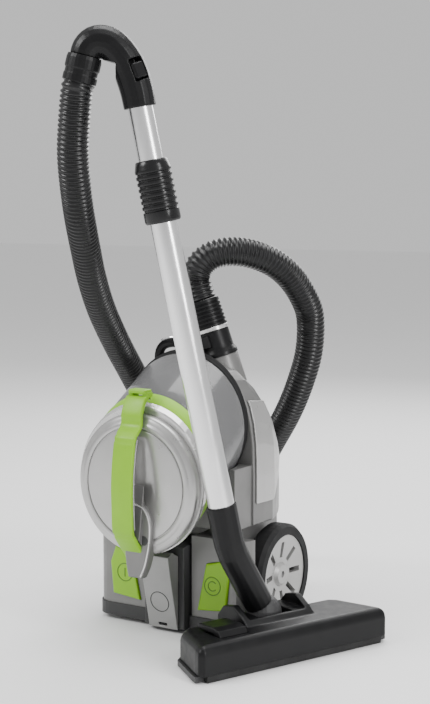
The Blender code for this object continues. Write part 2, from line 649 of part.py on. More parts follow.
def make_lid():
    pivot = (0, hinge_y(), hinge_z())
    lid = [
        (0.0, -0.0110), (0.040, -0.0104), (0.070, -0.0090), (LID_R - 0.0100, -0.0082), (LID_R - 0.0096, -0.0066),
        (LID_R - 0.0084, -0.0066), (LID_R - 0.0080, -0.0078), (LID_R - 0.003, -0.0060), (LID_R, -0.0025),
        (LID_R, 0.0042), (LID_R - 0.0030, 0.0042), (LID_R - 0.0030, -0.0020), (0.060, -0.0045), (0.0, -0.0055),
    ]
    place = Matrix.Translation((0, CUP_Y, CUP_Z)) @ Matrix.Rotation(math.radians(-90), 4, "X")
    cap = piece("front_lid", moved(turned(lid, 48), place), SILVER, NOSE, pivot)
    boolean(cap, box((-0.0175, CUP_Y - 0.02, CUP_Z - LID_R - 0.01), (0.0175, CUP_Y - 0.0045, CUP_Z - 0.070)))
    seal = moved(ring(LID_R - 0.0100, LID_R - 0.0034, 0.0005, 0.0042, 40), place)
    piece("lid_seal", seal, RUBBER, NOSE, pivot)
    behind = offset(strap_line(), -STRAP_THICK - 0.0005, closed=False)[-3:]
    tongue = [
        (CUP_Y - 0.0113, CUP_Z + 0.004), (CUP_Y - 0.0113, CUP_Z - 0.0703), (CUP_Y - 0.0048, CUP_Z - 0.0703),
        (CUP_Y - 0.0048, CUP_Z - LID_R - 0.0004), (CUP_Y + 0.0042, CUP_Z - LID_R - 0.0004),
        *behind[::-1], (CUP_Y - 0.0205, CUP_Z - 0.050), (CUP_Y - 0.0185, CUP_Z - 0.035),
    ]
    piece("lid_tongue", side_plate(tongue[::-1], STRAP_HALF + 0.0015), GREY, NOSE, pivot)
    outer = strap_line()
    green = offset(outer, 0.0, closed=False) + offset(outer, -STRAP_THICK, closed=False)[::-1]
    strap = piece("strap_handle", side_plate(green, STRAP_HALF), GREEN, NOSE, pivot)
    start = STRAP_THICK + 0.0005
    liner = offset(outer, -start, closed=False)[4:-3]
    liner += offset(outer, -start - 0.0022, closed=False)[-4:3:-1]
    piece("strap_liner", side_plate(liner, STRAP_HALF - 0.0008), SILVER, NOSE, pivot)
    y, z = hinge_y(), hinge_z()
    for sign in (-1, 1):
        low, high = sorted((sign * 0.0066, sign * 0.0140))
        knuckle = box((low, y - 0.0075, z - 0.0030), (high, y + 0.0034, z + 0.0034))
        boolean(strap, knuckle, NOSE, "UNION")
    boolean(strap, rod(0.0015 + GAP, (-0.02, y, z), (0.02, y, z), 16))
    button = box((-0.0125, y - 0.0115, z + 0.0068), (0.0125, y + 0.0040, z + 0.0118), 0.0016, 2)
    piece("release_button", button, GREEN, NOSE, (0, y, z + 0.008))


def strap_line():
    """Outer line of the strap in the YZ plane, from the hinge down to the tongue."""
    ahead_and_up = [
        (-0.0015, 0.1095), (0.0055, 0.1070), (0.0150, 0.0890), (0.0165, 0.0750), (0.0285, 0.0622),
        (0.0330, 0.0444), (0.0364, 0.0205), (0.0377, -0.0040), (0.0370, -0.0285), (0.0356, -0.0534),
        (0.0280, -0.0673), (0.0155, -0.0823), (0.0, -0.1020),
    ]
    return [(CUP_Y - ahead, CUP_Z + up) for ahead, up in ahead_and_up]


# ------------------------------------------------------------------ inlet, connector and hose
def make_connector():
    piece("inlet_collar", ring(0.0200, COLLAR_R, -0.030, 0.010, 32), GREY, INLET)
    plug = [
        (FLANGE_R, 0.0104), (FLANGE_R, 0.0150), (0.0215, 0.0200), (0.0215, 0.0440 - GAP), (0.0190, 0.0440 - GAP),
        (0.0190, 0.0485 + GAP), (0.0222, 0.0485 + GAP), (0.0215, 0.0560), (0.0205, CUFF_LENGTH),
        (0.0160, CUFF_LENGTH), (0.0160, -0.0250), (0.0195, -0.0250), (0.0195, 0.0104),
    ]
    pivot = (0, 0, 0.030)
    connector = piece("hose_connector", turned(plug, 32), BLACK, INLET, pivot)
    piece("connector_ring", ring(0.0190 + GAP, 0.0228, 0.0440, 0.0485, 32), SILVER, INLET, pivot)
    seat = connector_button(0.0004)
    boolean(connector, seat, INLET)
    piece("connector_button", connector_button(0.0), BLACK, INLET, (0, -0.021, 0.032))


def connector_button(grow):
    """Ribbed latch button on the front of the connector."""
    low = (-0.0065 - grow, -0.0245, 0.0240 - grow)
    high = (0.0065 + grow, -0.0182 + (0.0012 if grow else 0.0), 0.0400 + grow)
    return box(low, high, 0.0012)


# The hose lies free: a loop up from the connector, down behind the body to the floor and
# up to the grip.
HOSE_ROUTE = [
    (0.0020, 0.0790, 0.4560), (0.0095, 0.0840, 0.4690), (0.0215, 0.0935, 0.4775), (0.0370, 0.1080, 0.4805),
    (0.0540, 0.1275, 0.4770), (0.0705, 0.1510, 0.4665), (0.0835, 0.1765, 0.4470), (0.0910, 0.2015, 0.4180),
    (0.0910, 0.2200, 0.3885), (0.0815, 0.2340, 0.3420), (0.0625, 0.2440, 0.2960), (0.0370, 0.2560, 0.2520),
    (0.0020, 0.2730, 0.2060), (-0.0340, 0.2960, 0.1620), (-0.0660, 0.3220, 0.1180), (-0.0920, 0.3450, 0.0780),
    (-0.1120, 0.3620, 0.0450), (-0.1320, 0.3660, 0.0225), (-0.1530, 0.3530, 0.0205), (-0.1670, 0.3270, 0.0340),
    (-0.1700, 0.2980, 0.0650), (-0.1650, 0.2700, 0.1050), (-0.1570, 0.2370, 0.1550), (-0.1480, 0.2030, 0.2080),
    (-0.1380, 0.1730, 0.2560), (-0.1305, 0.1250, 0.3070), (-0.1205, 0.0720, 0.3560), (-0.1047, 0.0170, 0.4050),
    (-0.0883, -0.0260, 0.4490), (-0.0713, -0.0620, 0.4905), (-0.0554, -0.0936, 0.5275), (-0.0434, -0.1167, 0.5635),
    (-0.0340, -0.1332, 0.5980), (-0.0250, -0.1430, 0.6300),
]


def make_hose():
    home = NOSE.inverted()
    exits = [home @ INLET @ Vector((0, 0, CUFF_LENGTH + GAP + run)) for run in (0, 0.024)]
    entries = [home @ cuff_frame() @ Vector((0, 0, CUFF_END + GAP + run)) for run in (0.012, 0)]
    points = smooth_path([*exits, *HOSE_ROUTE, *entries], 2)
    points[1] = (points[0] + points[2]) / 2
    points[-2] = (points[-1] + points[-3]) / 2
    hose = curve_object("hose", points, HOSE_R, 2)
    hose.matrix_world = NOSE
    hose.data.materials.append(material("hose", RUBBER))
    PARTS.objects.link(hose)


# ------------------------------------------------------------------ wand and grip
def make_wand():
    lower = ring(TUBE_R - TUBE_WALL, TUBE_R, SOCKET_TOP - 0.0150, TUBE_TOP, 32)
    piece("lower_tube", lower, ALUMINIUM, WAND)
    upper = ring(INNER_R - TUBE_WALL, INNER_R, 0.110, GRIP_START + 0.012, 32)
    piece("upper_tube", upper, ALUMINIUM, WAND, (0, 0, GRIP_START))
    profile = []
    step = (CLAMP_TOP - 0.008 - CLAMP_BOTTOM - 0.016) / 7
    profile.append((CLAMP_R - 0.0028, CLAMP_TOP))
    profile.append((CLAMP_R - 0.0012, CLAMP_TOP - 0.006))
    for i in range(7):
        top = CLAMP_TOP - 0.008 - step * i
        profile += [(CLAMP_R, top), (CLAMP_R, top - step * 0.62), (CLAMP_R - 0.0016, top - step * 0.70),
                    (CLAMP_R - 0.0016, top - step * 0.92)]
    profile += [(CLAMP_R, CLAMP_BOTTOM + 0.014), (CLAMP_R - 0.0008, CLAMP_BOTTOM)]
    inner = TUBE_R + RUN
    profile += [(inner, CLAMP_BOTTOM), (inner, TUBE_TOP + 0.0068), (INNER_R + RUN, TUBE_TOP + 0.0068),
                (INNER_R + RUN, CLAMP_TOP)]
    piece("telescopic_clamp", turned(profile, 32), BLACK, WAND, (0, 0, CLAMP_BOTTOM))


GRIP_LINE = [
    (0.0, 0.0), (0.0, 0.0224), (-0.0044, 0.0508), (-0.0170, 0.0745), (-0.0335, 0.0820), (-0.0458, 0.0765),
    (-0.0520, 0.0645),
]
CUFF_RUN = (-0.424, -0.904)
CUFF_START = (-0.0500, 0.0690)
CUFF_END = 0.0300


def make_grip():
    line = [Vector((x, 0, GRIP_START + z)) for x, z in GRIP_LINE]
    path = smooth_path(line, 4)
    count = len(path) - 1
    radii = [1 + 0.13 * math.sin(math.pi * min(1, 0.2 + i / count * 0.9)) for i in range(count + 1)]
    pivot = (0, 0, GRIP_START)
    grip = piece("grip_handle", bent_rod(path, GRIP_R, 6, radii), BLACK, WAND, pivot)
    boolean(grip, rod(INNER_R + GAP, (0, 0, GRIP_START - 0.01), (0, 0, GRIP_START + 0.0125), 32), WAND)
    cuff = cuff_frame()
    boolean(grip, rod(0.040, (0, 0, -0.0003), (0, 0, 0.05), 32), cuff)
    slider = box((0.0110, -0.0085, 0.0300), (0.0225, 0.0085, 0.0480), 0.0015)
    seat = box((0.0105, -0.0088, 0.0275), (0.0300, 0.0088, 0.0535))
    boolean(grip, moved(seat, slider_frame()), WAND)
    piece("suction_slider", moved(slider, slider_frame()), BLACK, WAND, slider_frame() @ Vector((0.016, 0, 0.039)))
    sleeve = [
        (0.0165, 0.0), (0.0195, 0.0), (0.0205, 0.004), (0.0205, 0.0145), (0.0192, 0.0165), (0.0192, 0.0210),
        (0.0200, 0.0230), (0.0200, CUFF_END), (0.0150, CUFF_END), (0.0150, 0.0),
    ]
    piece("grip_cuff", turned(sleeve[1:], 32), BLACK, WAND @ cuff_local(), (0, 0, 0.020))


def slider_frame():
    """Frame of the suction slider within the wand's frame: X out of the grip, Z along its travel."""
    tilt = Matrix.Rotation(math.radians(-10), 4, "Y")
    return Matrix.Translation((0, 0, GRIP_START)) @ tilt @ Matrix.Rotation(math.radians(-42), 4, "Z")


def cuff_local():
    """Frame of the swivel cuff within the wand's frame, Z towards the hose."""
    start = (CUFF_START[0], 0, GRIP_START + CUFF_START[1])
    return axis_frame(start, (CUFF_RUN[0], 0, CUFF_RUN[1]), (0, 1, 0))


def cuff_frame():
    return WAND @ cuff_local()


# ------------------------------------------------------------------ elbow and floor head
def make_elbow():
    top = WAND @ Vector((0, 0, SOCKET_TOP))
    bend = WAND @ Vector((0, 0, -0.034))
    neck = HEAD @ Vector((0, 0, NECK_Z))
    down = (neck - bend).normalized()
    up = (top - bend).normalized()
    path = [top, bend + up * 0.020, bend + up * 0.009 + down * 0.001, bend + down * 0.009 + up * 0.001,
            bend + down * 0.020, neck]
    home = NOSE.inverted()
    path = [home @ p for p in path]
    pivot = home @ bend
    elbow = piece("elbow", bent_rod(path, ELBOW_R, 6), BLACK, NOSE, pivot)
    bore = [path[0] + (path[0] - path[1]), *path[1:-1], path[-1] + (path[-1] - path[-2]) * 0.5]
    boolean(elbow, bent_rod(bore, ELBOW_R - 0.0045, 5))
    socket = rod(TUBE_R + GAP, (0, 0, SOCKET_TOP - 0.0153), (0, 0, SOCKET_TOP + 0.01), 32)
    boolean(elbow, socket, WAND)
    boolean(elbow, ball(NECK_R + 0.0010), HEAD)
    neck_piece = piece("neck_ball", ball(NECK_R), DARK, HEAD, (0, 0, NECK_Z))
    trunnion = rod(TRUNNION_R, (-TRUNNION_HALF, 0, NECK_Z), (TRUNNION_HALF, 0, NECK_Z), 20)
    boolean(neck_piece, trunnion, HEAD, "UNION")
    boolean(neck_piece, rod(ELBOW_R - 0.0060, path[-1] - (path[-2] - path[-1]) * 2, path[-2], 20))


def ball(radius):
    made = bmesh.new()
    bmesh.ops.create_uvsphere(made, u_segments=28, v_segments=14, radius=radius)
    return moved(made, Matrix.Translation((0, 0, NECK_Z)))


def make_head():
    front, back = HEAD_FRONT, HEAD_BACK
    outline = [
        (HEAD_BACK_HALF - 0.012, back), (-HEAD_BACK_HALF + 0.012, back), (-HEAD_BACK_HALF, back - 0.010),
        (-HEAD_HALF + 0.002, front + 0.016), (-HEAD_HALF, front + 0.006), (-HEAD_HALF + 0.005, front),
    ]
    outline = outline + [(-x, y) for x, y in reversed(outline[2:])]
    shell = piece("head_housing", plate(outline, 0.0085, HEAD_TOP, 0.012, 4), BLACK, HEAD, (0, 0, NECK_Z))
    hump = side_plate(
        [(back + 0.012, 0.012), (back + 0.012, 0.046), (back, 0.060), (-0.008, 0.064), (-0.026, 0.053),
         (-0.050, 0.034), (-0.050, 0.012)], 0.052)
    boolean(shell, hump, HEAD, "UNION")
    cavity = side_plate(
        [(back + 0.03, 0.010), (back + 0.03, 0.080), (-0.0250, 0.080), (-0.0250, 0.010)], NECK_R + 0.0025)
    boolean(shell, cavity, HEAD)
    boolean(shell, box((-0.043, -0.042, NECK_Z + 0.004), (0.043, 0.05, 0.08)), HEAD)
    boolean(shell, rod(TRUNNION_R + GAP, (-TRUNNION_HALF - GAP, 0, NECK_Z), (TRUNNION_HALF + GAP, 0, NECK_Z), 20), HEAD)
    duct = box((-0.020, -0.062, 0.006), (0.020, -0.0200, 0.030))
    boolean(shell, duct, HEAD)
    channel = box((-HEAD_HALF + 0.018, -0.062, 0.006), (HEAD_HALF - 0.018, -0.040, 0.020))
    boolean(shell, channel, HEAD)
    inset = offset(outline, 0.0030)
    sole = piece("sole_plate", plate(inset, 0.0016, 0.0082), DARK, HEAD, (0, 0, NECK_Z))
    boolean(sole, box((-HEAD_HALF + 0.022, -0.058, -0.01), (HEAD_HALF - 0.022, -0.044, 0.02)), HEAD)
    boolean(sole, box((-0.2, -0.2, -0.01), (0.2, front + 0.0085, 0.02)), HEAD)
    boolean(sole, rod(ROLLER_R + 0.0015, (-0.085, ROLLER_Y, ROLLER_R), (0.085, ROLLER_Y, ROLLER_R), 24), HEAD)
    boolean(shell, rod(ROLLER_R + 0.0015, (-0.085, ROLLER_Y, ROLLER_R), (0.085, ROLLER_Y, ROLLER_R), 24), HEAD)
    strip = box((-HEAD_HALF + 0.010, front + 0.0020, 0.0006), (HEAD_HALF - 0.010, front + 0.0080, 0.0120))
    piece("brush_strip", strip, RUBBER, HEAD, (0, front + 0.005, 0.006))
    boolean(shell, box((-HEAD_HALF + 0.0095, front + 0.0016, -0.01), (HEAD_HALF - 0.0095, front + 0.0084, 0.0175)), HEAD)
    roller = [(0.0, 0.082), (0.0030, 0.082), (0.0030, 0.078), (ROLLER_R, 0.077), (ROLLER_R, 0.062), (0.0030, 0.061)]
    profile = roller + [(r, -z) for r, z in reversed(roller)]
    along = Matrix.Translation((0, ROLLER_Y, ROLLER_R)) @ Matrix.Rotation(math.radians(90), 4, "Y")
    piece("head_roller", moved(turned(profile, 20), along), RUBBER, HEAD, (0, ROLLER_Y, ROLLER_R))
    make_head_pedal(shell)


def make_head_pedal(shell):
    hinge_height = HEAD_TOP + 0.0020
    top = HEAD_TOP
    side = [
        (PEDAL_HINGE_Y + 0.012, top + 0.0012), (PEDAL_HINGE_Y + 0.012, top + 0.0070),
        (PEDAL_HINGE_Y - 0.018, top + 0.0085), (PEDAL_HINGE_Y - 0.028, top + 0.0060),
        (PEDAL_HINGE_Y - 0.033, top + 0.0000), (PEDAL_HINGE_Y - 0.032, top - 0.0060),
        (PEDAL_HINGE_Y - 0.024, top - 0.0060), (PEDAL_HINGE_Y - 0.020, top + 0.0012),
    ]
    pad = moved(side_plate(side, 0.0200), Matrix.Translation((PEDAL_X, 0, 0)))
    pedal = piece("head_pedal", pad, BLACK, HEAD, (PEDAL_X, PEDAL_HINGE_Y, hinge_height))
    boolean(pedal, box((PEDAL_X - 0.007, PEDAL_HINGE_Y - 0.0045, top - 0.0060),
                       (PEDAL_X + 0.007, PEDAL_HINGE_Y + 0.0045, top + 0.0030)), HEAD, "UNION")
    boolean(shell, box((PEDAL_X - 0.0205, PEDAL_HINGE_Y - 0.0345, top - 0.0120),
                       (PEDAL_X + 0.0205, PEDAL_HINGE_Y - 0.0180, top + 0.01)), HEAD)
    boolean(shell, box((PEDAL_X - 0.0205, PEDAL_HINGE_Y - 0.0190, top - 0.0030),
                       (PEDAL_X + 0.0205, PEDAL_HINGE_Y - 0.0040, top + 0.01)), HEAD)
    boolean(shell, box((PEDAL_X - 0.0078, PEDAL_HINGE_Y - 0.0062, top - 0.0085),
                       (PEDAL_X + 0.0078, PEDAL_HINGE_Y + 0.0062, top + 0.01)), HEAD)


make_base()
make_pedals()
make_nose()
make_caster()
make_wheels()
make_casing()
make_casing_fittings()
make_carry_handle()
make_cradle()
make_cup()
make_lid()
make_connector()
make_hose()
make_wand()
make_grip()
make_elbow()
make_head()
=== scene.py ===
"""Visual model of a bagless canister vacuum cleaner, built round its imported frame."""
import json
import math

import bmesh
import bpy
from mathutils import Matrix, Vector


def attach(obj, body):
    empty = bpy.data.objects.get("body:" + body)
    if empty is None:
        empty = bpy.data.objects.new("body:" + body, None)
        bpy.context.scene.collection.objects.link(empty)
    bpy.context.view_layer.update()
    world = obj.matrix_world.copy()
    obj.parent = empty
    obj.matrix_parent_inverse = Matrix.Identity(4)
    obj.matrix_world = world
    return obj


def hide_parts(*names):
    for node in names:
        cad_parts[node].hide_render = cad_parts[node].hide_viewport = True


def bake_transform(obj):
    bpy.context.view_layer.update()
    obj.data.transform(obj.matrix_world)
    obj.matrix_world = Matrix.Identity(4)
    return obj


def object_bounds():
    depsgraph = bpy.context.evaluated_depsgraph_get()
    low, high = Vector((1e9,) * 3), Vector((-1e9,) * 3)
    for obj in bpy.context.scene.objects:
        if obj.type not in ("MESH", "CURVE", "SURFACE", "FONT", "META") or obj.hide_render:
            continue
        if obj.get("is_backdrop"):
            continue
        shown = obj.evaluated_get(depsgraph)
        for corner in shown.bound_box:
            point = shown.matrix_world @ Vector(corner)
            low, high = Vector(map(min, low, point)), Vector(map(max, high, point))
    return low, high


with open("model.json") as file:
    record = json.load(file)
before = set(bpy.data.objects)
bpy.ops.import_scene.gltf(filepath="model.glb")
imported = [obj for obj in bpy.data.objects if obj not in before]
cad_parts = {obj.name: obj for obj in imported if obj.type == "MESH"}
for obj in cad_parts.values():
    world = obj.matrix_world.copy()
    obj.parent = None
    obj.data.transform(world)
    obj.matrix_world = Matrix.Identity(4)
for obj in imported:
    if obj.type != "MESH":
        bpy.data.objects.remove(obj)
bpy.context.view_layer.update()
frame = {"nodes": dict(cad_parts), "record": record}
BODY_OF = {node: body for body, nodes in frame["record"]["behaviour"]["bodies"].items()
           for node in nodes}

# ------------------------------------------------------------------ places, as in the CAD
NOSE = Matrix.Translation((-0.0715, -0.0334, 0.0))
CUP_R = 0.0915
CUP_LENGTH = 0.102
CUP_Y = -0.0526
CUP_Z = 0.200
CUP_RISE = 0.600
CUP = NOSE @ Matrix(((1, 0, 0, 0), (0, 0, 1, CUP_Y), (0, 1, CUP_RISE, CUP_Z), (0, 0, 0, 1)))
CUFF_LENGTH = 0.085
GRIP_START = 0.4975


def axis_frame(at, z_axis, x_hint):
    """Frame at a point with a given Z and an X as near as may be to the hint."""
    z = Vector(z_axis).normalized()
    x = Vector(x_hint)
    x = (x - z * x.dot(z)).normalized()
    return Matrix.Translation(at) @ Matrix((x, z.cross(x), z)).transposed().to_4x4()


WAND = NOSE @ axis_frame((0.1211, -0.0469, 0.165), (-0.1537, -0.1314, 1.0), (0.848, 0.530, 0.0))
INLET = NOSE @ axis_frame((0.0330, 0.0905, 0.337), (-0.3125, -0.111, 1.0), (1, 0, 0))
HEAD = NOSE @ Matrix.Translation((0.1431, 0.0069, 0.0)) @ Matrix.Rotation(math.radians(68), 4, "Z")
CUFF = WAND @ axis_frame((-0.0500, 0, GRIP_START + 0.0690), (-0.424, 0, -0.904), (0, 1, 0))
LID = NOSE @ Matrix.Translation((0, CUP_Y, CUP_Z)) @ Matrix.Rotation(math.radians(-90), 4, "X")

# ------------------------------------------------------------------ camera
camera = bpy.data.objects.new("camera", bpy.data.cameras.new("camera"))
bpy.context.scene.collection.objects.link(camera)
camera.location = NOSE @ Vector((1.0289, -1.5216, 0.551))
camera.rotation_euler = (math.radians(84), 0, math.radians(32))
camera.data.lens = 75.68
camera.data.sensor_width = 36
camera.data.clip_start = 0.05
bpy.context.scene.camera = camera


# ------------------------------------------------------------------ materials
def finish(name, colour, rough=0.4, metal=0.0, grain=900, bump=0.08, vary=0.05, rough_vary=0.06,
           stretch=(1, 1, 1), coat=0.0, depth=0.0002, glass=0.0, ior=1.45, patch=25, shine=0.5):
    """Moulded, painted or brushed surface: patchy tone, patchy gloss and a fine grain."""
    made = bpy.data.materials.new(name)
    made.use_nodes = True
    tree = made.node_tree
    shader = tree.nodes["Principled BSDF"]
    place = tree.nodes.new("ShaderNodeTexCoord")
    scale = tree.nodes.new("ShaderNodeMapping")
    scale.inputs["Scale"].default_value = stretch
    tree.links.new(place.outputs["Object"], scale.inputs["Vector"])

    def noise(size, detail):
        node = tree.nodes.new("ShaderNodeTexNoise")
        node.inputs["Scale"].default_value = size
        node.inputs["Detail"].default_value = detail
        tree.links.new(scale.outputs["Vector"], node.inputs["Vector"])
        return node

    tone = noise(patch, 4)
    ramp = tree.nodes.new("ShaderNodeValToRGB")
    ramp.color_ramp.elements[0].position = 0.3
    ramp.color_ramp.elements[1].position = 0.7
    ramp.color_ramp.elements[0].color = (*[c * (1 - vary) for c in colour], 1)
    ramp.color_ramp.elements[1].color = (*[min(1, c * (1 + vary)) for c in colour], 1)
    tree.links.new(tone.outputs["Fac"], ramp.inputs["Fac"])
    tree.links.new(ramp.outputs["Color"], shader.inputs["Base Color"])
    gloss = noise(patch * 3, 6)
    span = tree.nodes.new("ShaderNodeMapRange")
    span.inputs["From Min"].default_value = 0.3
    span.inputs["From Max"].default_value = 0.7
    span.inputs["To Min"].default_value = max(0.02, rough - rough_vary)
    span.inputs["To Max"].default_value = min(1, rough + rough_vary)
    tree.links.new(gloss.outputs["Fac"], span.inputs["Value"])
    tree.links.new(span.outputs["Result"], shader.inputs["Roughness"])
    fine = noise(grain, 3)
    relief = tree.nodes.new("ShaderNodeBump")
    relief.inputs["Strength"].default_value = bump
    relief.inputs["Distance"].default_value = depth
    tree.links.new(fine.outputs["Fac"], relief.inputs["Height"])
    tree.links.new(relief.outputs["Normal"], shader.inputs["Normal"])
    shader.inputs["Metallic"].default_value = metal
    shader.inputs["Coat Weight"].default_value = coat
    shader.inputs["Coat Roughness"].default_value = 0.12
    shader.inputs["Transmission Weight"].default_value = glass
    shader.inputs["IOR"].default_value = ior
    shader.inputs["Specular IOR Level"].default_value = shine
    return made


M = {
    "green": finish("green_plastic", (0.235, 0.50, 0.012), 0.38, bump=0.04, shine=0.4),
    "green_dark": finish("green_mark", (0.10, 0.22, 0.02), 0.42),
    "silver": finish("silver_paint", (0.47, 0.466, 0.46), 0.33, metal=0.75, bump=0.02, grain=2500,
                     vary=0.03),
    "silver_edge": finish("silver_edge", (0.66, 0.655, 0.65), 0.24, metal=0.7, bump=0.02),
    "grey": finish("grey_plastic", (0.185, 0.183, 0.18), 0.38, metal=0.45, bump=0.04, grain=2200),
    "grey_light": finish("nose_paint", (0.30, 0.298, 0.295), 0.36, metal=0.4, bump=0.03, grain=2200),
    "dark": finish("dark_plastic", (0.040, 0.040, 0.041), 0.46, bump=0.10, shine=0.4),
    "black": finish("black_plastic", (0.0055, 0.0055, 0.006), 0.36, bump=0.10, grain=1400,
                    shine=0.27),
    "black_gloss": finish("black_gloss", (0.007, 0.007, 0.0075), 0.26, bump=0.05, shine=0.4),
    "rubber": finish("rubber", (0.008, 0.008, 0.0085), 0.62, bump=0.2, grain=1800, shine=0.3),
    "hose": finish("hose_plastic", (0.007, 0.007, 0.0075), 0.30, bump=0.06, vary=0.2, shine=0.45),
    "smoke": finish("smoky_plastic", (0.30, 0.30, 0.305), 0.14, bump=0.01, glass=0.60, ior=1.48),
    "tube": finish("brushed_aluminium", (0.86, 0.86, 0.865), 0.24, metal=1.0, bump=0.10, grain=700,
                   vary=0.03, stretch=(1, 1, 0.05)),
    "chrome": finish("chrome", (0.86, 0.86, 0.87), 0.08, metal=1.0, bump=0.01, vary=0.02, rough_vary=0.03),
    "steel": finish("steel", (0.55, 0.55, 0.56), 0.3, metal=1.0, bump=0.05),
    "copper": finish("motor_metal", (0.45, 0.42, 0.40), 0.4, metal=0.9),
    "felt": finish("filter_felt", (0.62, 0.62, 0.60), 0.9, bump=0.6, grain=1500, vary=0.12, depth=0.0006),
    "hub": finish("hub_plastic", (0.42, 0.418, 0.41), 0.36, metal=0.3, bump=0.05),
    "shroud": finish("shroud_plastic", (0.20, 0.20, 0.20), 0.5),
    "bristle": finish("bristles", (0.02, 0.02, 0.02), 0.8, bump=0.9, grain=1600, stretch=(1, 1, 0.1),
                      depth=0.0008, vary=0.4),
}

LOOKS = {
    "green": "cup_ring strap_handle release_button switch_pedal rewind_pedal",
    "silver": "side_panel_left side_panel_right front_lid",
    "silver_edge": "cup_rim strap_liner connector_ring",
    "grey_light": "nose_cover",
    "grey": "base_tub upper_casing cup_cradle lid_tongue inlet_collar caster_fork reel_spindle",
    "dark": "bumper_band nose_housing exhaust_grille cyclone_cone cup_rear_plate neck_ball cord_reel "
            "sole_plate",
    "black": "hose_connector connector_button grip_handle grip_cuff suction_slider telescopic_clamp "
             "elbow head_housing head_pedal carry_handle",
    "rubber": "lid_seal cup_gasket motor_mount caster_roller head_roller tyre_left tyre_right",
    "hose": "hose",
    "bristle": "brush_strip",
    "smoke": "cup_shell",
    "tube": "lower_tube upper_tube",
    "chrome": "handle_trim lid_hinge_pin",
    "steel": "rear_axle motor_fan",
    "copper": "motor",
    "felt": "premotor_filter exhaust_filter",
    "hub": "wheel_hub_left wheel_hub_right",
    "shroud": "mesh_shroud",
}
LOOK_OF = {node: look for look, nodes in LOOKS.items() for node in nodes.split()}


def smooth(obj, angle=35):
    """Smooth shading, sharp past an angle in degrees."""
    obj.data.shade_smooth()
    obj.data.set_sharp_from_angle(angle=math.radians(angle))


for name, node in frame["nodes"].items():
    node.data.materials.clear()
    node.data.materials.append(M[LOOK_OF[name]])


# ------------------------------------------------------------------ making pieces
def add(name, bm, look, body, place=Matrix(), replaces=(), angle=35):
    """Links a mesh as a piece that rides on a body and stands for the named CAD nodes."""
    bmesh.ops.transform(bm, verts=bm.verts, matrix=place)
    if place.to_3x3().determinant() < 0:
        bmesh.ops.reverse_faces(bm, faces=bm.faces)
    mesh = bpy.data.meshes.new(name)
    bm.to_mesh(mesh)
    bm.free()
    made = bpy.data.objects.new(name, mesh)
    bpy.context.scene.collection.objects.link(made)
    mesh.materials.append(M[look])
    smooth(made, angle)
    if replaces:
        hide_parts(*replaces)
    if body:
        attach(made, body)
    return made


def baked(obj):
    """Applies the object's modifiers, in place."""
    graph = bpy.context.evaluated_depsgraph_get()
    mesh = bpy.data.meshes.new_from_object(obj.evaluated_get(graph))
    obj.modifiers.clear()
    obj.data = mesh
    return obj


def join(bms):
    """One mesh of several."""
    whole = bmesh.new()
    for bm in bms:
        mesh = bpy.data.meshes.new("joined")
        bm.to_mesh(mesh)
        bm.free()
        whole.from_mesh(mesh)
        bpy.data.meshes.remove(mesh)
    return whole


def moved(bm, matrix):
    """The mesh itself, moved by a matrix."""
    bmesh.ops.transform(bm, verts=bm.verts, matrix=matrix)
    return bm


def box(low, high, bevel=0.0):
    bm = bmesh.new()
    bmesh.ops.create_cube(bm, size=1)
    bmesh.ops.scale(bm, verts=bm.verts, vec=[b - a for a, b in zip(low, high)])
    bmesh.ops.translate(bm, verts=bm.verts, vec=[(a + b) / 2 for a, b in zip(low, high)])
    if bevel:
        bmesh.ops.bevel(bm, geom=bm.edges, offset=bevel, segments=2, profile=0.5, affect="EDGES")
    return bm


def turned(profile, sides=96):
    """Solid of revolution about Z; a ring's profile closes itself."""
    closed = not (profile[0][0] == 0 and profile[-1][0] == 0)
    bm = bmesh.new()
    loops = []
    for r, z in profile:
        if r == 0:
            loops.append([bm.verts.new((0, 0, z))] * sides)
        else:
            loops.append([bm.verts.new((r * math.cos(2 * math.pi * i / sides),
                                        r * math.sin(2 * math.pi * i / sides), z)) for i in range(sides)])
    pairs = list(zip(loops, loops[1:]))
    if closed:
        pairs.append((loops[-1], loops[0]))
    for a, b in pairs:
        for i in range(sides):
            j = (i + 1) % sides
            corners = list(dict.fromkeys((a[i], a[j], b[j], b[i])))
            bm.faces.new(corners)
    bmesh.ops.recalc_face_normals(bm, faces=bm.faces)
    return bm


def loft(sections):
    """Closed solid through loops of points, capped at both ends."""
    bm = bmesh.new()
    loops = [[bm.verts.new(p) for p in section] for section in sections]
    count = len(loops[0])
    for near, far in zip(loops, loops[1:]):
        for i in range(count):
            j = (i + 1) % count
            bm.faces.new((near[i], near[j], far[j], far[i]))
    bm.faces.new(loops[0][::-1])
    bm.faces.new(loops[-1])
    bmesh.ops.recalc_face_normals(bm, faces=bm.faces)
    return bm


def spline(points, per_span):
    """Catmull-Rom curve through the points."""
    points = [Vector(p) for p in points]
    points = [2 * points[0] - points[1], *points, 2 * points[-1] - points[-2]]
    result = []
    for a, b, c, d in zip(points, points[1:], points[2:], points[3:]):
        for i in range(per_span):
            t = i / per_span
            result.append(0.5 * (2 * b + (c - a) * t + (2 * a - 5 * b + 4 * c - d) * t ** 2
                                 + (3 * b - a - 3 * c + d) * t ** 3))
    result.append(points[-2])
    return result


def resample(points, step):
    """Evenly spaced points along a line."""
    result = [points[0].copy()]
    left = step
    for a, b in zip(points, points[1:]):
        run = (b - a).length
        while left <= run:
            result.append(a.lerp(b, left / run))
            left += step
        left -= run
    return result


